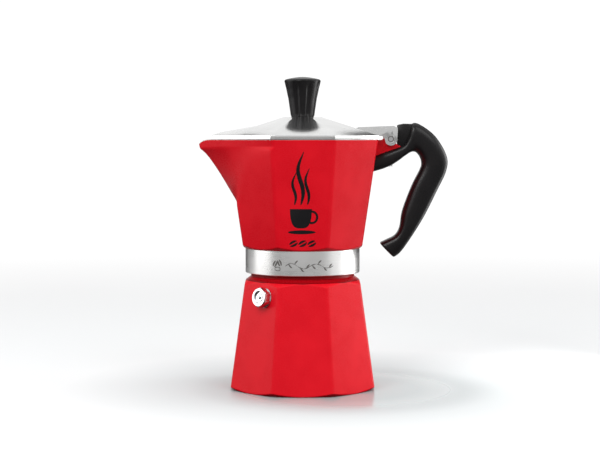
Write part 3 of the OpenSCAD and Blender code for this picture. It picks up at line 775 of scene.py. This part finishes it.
turn = np.radians(np.linspace(0, -180, 29))
cup = list(zip(-1.2 + 7.4 * power(np.cos(turn), 0.62), 127.4 + 13.2 * power(np.sin(turn), 0.85)))
loop = np.radians(np.linspace(-112, 96, 20))
shapes = [cup, ribbon(np.stack([6.2 + 3.6 * np.cos(loop), 121.8 + 3.9 * np.sin(loop)], 1), np.full(20, 1.5)),
          oval(-0.6, 111.6, 9.4, 1.35), steam(-1.2, 130, 166, 2.3, 2.6), steam(-5.6, 130, 152, 1.5, 1.8),
          steam(3.2, 130, 155, 1.6, 1.9)]
for u in (-6.2, 0, 6.2):
    shapes += bean(u, 103.8, 2.9, 2.0, 28)
emblem = laid("printed_emblem", shapes, on_front)
finished(emblem, ink, "jug")


# %% The sprig round the collar
def on_collar(u, v, depth):
    r = collar_r + (0.03 - 0.12 * depth) * MM
    return (r * sin(u / collar_r), -r * cos(u / collar_r), v)


t = np.linspace(0, 1, 60)
stem_u = -12 + 34 * t
stem = np.stack([stem_u, 88.2 + 1.9 * np.sin(t * 4 * pi) * (1 - 0.35 * t)], 1)
shapes = [ribbon(stem, 0.25 + 0.4 * np.abs(np.sin(t * 8 * pi)))]
for k in range(8):
    at = stem[4 + 7 * k]
    up = 1 if k % 2 else -1
    leaf = np.stack([at[0] + np.linspace(0, 2.6, 9), at[1] + up * 2.6 * np.sin(np.linspace(0, 1.4, 9))], 1)
    shapes.append(ribbon(leaf, 1.05 * np.sin(np.linspace(0.12, pi - 0.08, 9))))
for u, v, lean in ((-19.6, 89.6, 60), (-16.2, 90.3, 115), (-17.6, 86.2, 0)):
    shapes += bean(u, v, 2.3, 1.5, lean)
sprig = laid("collar_sprig", shapes, on_collar)
finished(sprig, engraving_and_pin_shade, "jug")

# %% A dark disc that each end of the hinge pin stands out of, and that shows as a ring round it: painted shade round the pin in its hole
for side, y in (("front", pin_low.y), ("back", pin_high.y)):
    disc = laid(f"pin_shade_ring_{side}", [oval(px, pz, 2.15, 2.15, n=32)],
                lambda u, v, depth: (u, y * 0.985 + 0.12 * MM * (depth - 0.5), v))
    finished(disc, engraving_and_pin_shade, "lid")

# %% [markdown]
# ## Nodes that stay
# The small turned parts, the funnel, the gasket and the discs keep their own meshes. Each gets the
# finish of the real one.

# %% Materials on the nodes that stay
for name, material in {
        "valve_washer": bright_steel, "valve_body": bright_steel, "valve_retainer": bright_steel,
        "valve_spring": bright_steel, "valve_piston": bright_steel, "funnel": turned_metal,
        "funnel_disc": turned_metal, "gasket": rubber, "filter_disc": turned_metal, "collar": turned_metal,
        "hinge_pin": bright_steel, "handle_screw": bright_steel, "knob_insert": brass,
        "knob_screw": bright_steel, "knob_washer": bright_steel,
        "boiler": enamel, "jug": enamel, "lid": polished, "knob": plastic, "handle": plastic}.items():
    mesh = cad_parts[name].data
    mesh.materials.clear()
    mesh.materials.append(material)
print("nodes with a finish", len(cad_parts))

# %% [markdown]
# ## Floor, light and camera
# A pale floor runs far back and turns into a glow as bright as the sky, so there is no horizon
# line. Only the camera sees it so: reflections and bounced light meet a darker grey, darkest in
# front on the left, which keeps the side of the spout deep red. Broad soft lights stand left,
# right, high and close on the right. The left light and the low left light show in reflections
# alone. For everything but the camera the sky is dimmer in front of the pot than behind it.

# %% The floor
SKY_SEEN = 1.05
only()
bpy.ops.mesh.primitive_plane_add(size=60, location=(0, 0, 0))
floor = bpy.context.object
floor.name = "floor"
pale = finish("pale floor", (0.80, 0.80, 0.805), (0.82, 0.82, 0.825), (0.95, 1.0), 0.0, fine=40, cloud=3,
              Specular_IOR_Level=0.3)
floor.data.materials.append(pale)
nodes, links = pale.node_tree.nodes, pale.node_tree.links
where = nodes.new("ShaderNodeTexCoord")
away = nodes.new("ShaderNodeVectorMath"); away.operation = "LENGTH"
gloss = nodes.new("ShaderNodeMapRange")
preset(gloss, From_Min=0.07, From_Max=0.12, To_Min=0.22, To_Max=1.0)
shift = nodes.new("ShaderNodeVectorMath"); shift.operation = "SUBTRACT"
shift.inputs[1].default_value = (0.03, -0.01, 0)
links.new(where.outputs["Object"], shift.inputs[0])
links.new(shift.outputs["Vector"], away.inputs[0])
links.new(away.outputs["Value"], gloss.inputs["Value"])
links.new(gloss.outputs["Result"], nodes["Principled BSDF"].inputs["Roughness"])
# Painted shadow: the floor the camera sees is darker and cooler close to the pot, pale further out
shade = nodes.new("ShaderNodeValToRGB")
tones = shade.color_ramp.elements
for at, tone in ((0.05, (0.38, 0.44, 0.445)), (0.11, (0.60, 0.64, 0.645)), (0.2, (0.76, 0.775, 0.78))):
    tones.new(at).color = (*tone, 1)
tones[0].color, tones[-1].color = (0.38, 0.44, 0.445, 1), (0.84, 0.84, 0.845, 1)
links.new(away.outputs["Value"], shade.inputs["Fac"])
links.new(shade.outputs["Color"], nodes["Principled BSDF"].inputs["Base Color"])
# Reflections and bounced light see a dark grey floor, darkest at a spot in front on the left: painted shade
# that keeps the spout's side deep red
grey, reflected_shade = nodes.new("ShaderNodeBsdfDiffuse"), nodes.new("ShaderNodeMapRange")
spot = nodes.new("ShaderNodeVectorMath"); spot.operation = "DISTANCE"
spot.inputs[1].default_value = (-0.25, -0.20, 0)
preset(reflected_shade, From_Min=0.20, From_Max=0.50, To_Min=0.03, To_Max=0.30)
links.new(where.outputs["Object"], spot.inputs[0])
links.new(spot.outputs["Value"], reflected_shade.inputs["Value"])
links.new(reflected_shade.outputs["Result"], grey.inputs["Color"])
path, blend = nodes.new("ShaderNodeLightPath"), nodes.new("ShaderNodeMixShader")
links.new(path.outputs["Is Camera Ray"], blend.inputs["Fac"])
links.new(grey.outputs["BSDF"], blend.inputs[1])
haze, far = nodes.new("ShaderNodeMapRange"), nodes.new("ShaderNodeMixShader")
preset(haze, From_Min=0.3, From_Max=1.6)
haze.interpolation_type = "SMOOTHSTEP"
glow = nodes.new("ShaderNodeEmission")
preset(glow, Strength=SKY_SEEN)
links.new(away.outputs["Value"], haze.inputs["Value"])
links.new(haze.outputs["Result"], far.inputs["Fac"])
links.new(nodes["Principled BSDF"].outputs["BSDF"], far.inputs[1])
links.new(glow.outputs["Emission"], far.inputs[2])
links.new(far.outputs["Shader"], blend.inputs[2])
links.new(blend.outputs["Shader"], nodes["Material Output"].inputs["Surface"])


# %% The lights and the sky
def soft_light(name, place, aim, width, height, power):
    data = bpy.data.lights.new(name, "AREA")
    data.shape, data.size, data.size_y, data.energy = "RECTANGLE", width, height, power
    lamp = bpy.data.objects.new(name, data)
    bpy.context.scene.collection.objects.link(lamp)
    lamp.location = place
    lamp.visible_camera = False
    lamp.rotation_euler = (Vector(aim) - Vector(place)).to_track_quat("-Z", "Y").to_euler()
    return lamp


soft_light("left light", (-0.9, -0.22, 0.65), (0, -0.22, 0.5), 0.9, 1.0, 2.4).visible_diffuse = False
soft_light("low left light", (-0.9, -0.05, 0.12), (0, -0.05, 0.12), 0.7, 0.4, 1.2).visible_diffuse = False
soft_light("right light", (0.9, -0.22, 0.5), (0, -0.22, 0.5), 0.9, 1.0, 2.3)
soft_light("high left light", (-0.6, -1.0, 0.9), (0, 0, 0.12), 0.7, 0.7, 10.5)
soft_light("high right light", (0.6, -0.9, 1.0), (0, 0, 0.12), 0.7, 0.7, 4.5)
soft_light("near right light", (0.28, 0.07, 0.12), (0.03, -0.03, 0.12), 0.14, 0.3, 0.42)
soft_light("top light", (0, 0.1, 1.4), (0, 0, 0.1), 1.4, 1.2, 1.4)


def flag(name, place, width, height):
    """A dark card that shows in reflections alone and gives bright metal its dark edges."""
    only()
    bpy.ops.mesh.primitive_plane_add(size=1, location=place)
    card = bpy.context.object
    card.name = name
    card.scale = (width, height, 1)
    card.rotation_euler = (Vector((0, 0, 0.1)) - Vector(place)).to_track_quat("Z", "Y").to_euler()
    placed(card)
    card.data.materials.append(dark_cloth)
    card.visible_camera = card.visible_diffuse = card.visible_shadow = card.visible_transmission = False
    return card


dark_cloth = finish("dark cloth", (0.02, 0.02, 0.02), (0.03, 0.03, 0.03), (0.9, 1.0), 0.0, fine=300)
flag("left flag", (-0.36, 0.62, 0.2), 0.34, 0.9)
flag("right flag", (0.36, 0.62, 0.2), 0.34, 0.9)
sky = bpy.data.worlds.new("pale studio")
bpy.context.scene.world = sky
sky.use_nodes = True
nodes, links = sky.node_tree.nodes, sky.node_tree.links
look, part = nodes.new("ShaderNodeTexCoord"), nodes.new("ShaderNodeSeparateXYZ")
depth, path = nodes.new("ShaderNodeMapRange"), nodes.new("ShaderNodeLightPath")
seen, lit = nodes["Background"], nodes.new("ShaderNodeBackground")
blend = nodes.new("ShaderNodeMixShader")
preset(depth, From_Min=-0.7, From_Max=0.5, To_Min=0.62, To_Max=0.98)
preset(seen, Color=(1, 1, 1, 1), Strength=SKY_SEEN)
preset(lit, Color=(1, 1, 1, 1))
links.new(look.outputs["Generated"], part.inputs[0])
links.new(part.outputs["Y"], depth.inputs["Value"])
links.new(depth.outputs["Result"], lit.inputs["Strength"])
links.new(path.outputs["Is Camera Ray"], blend.inputs["Fac"])
links.new(lit.outputs["Background"], blend.inputs[1])
links.new(seen.outputs["Background"], blend.inputs[2])
links.new(blend.outputs["Shader"], nodes["World Output"].inputs["Surface"])

# %% The camera
CAMERA_DISTANCE, CAMERA_HEIGHT, CAMERA_DIP = 1.1, 0.176, 3.22
camera_data = bpy.data.cameras.new("camera")
camera_data.lens, camera_data.sensor_width = 94, 36
camera = bpy.data.objects.new("camera", camera_data)
bpy.context.scene.collection.objects.link(camera)
camera.location = (-0.0018, -CAMERA_DISTANCE, CAMERA_HEIGHT)
camera.rotation_euler = (pi / 2 - radians(CAMERA_DIP), 0, 0)
bpy.context.scene.camera = camera
bpy.context.scene.view_settings.view_transform = "Standard"
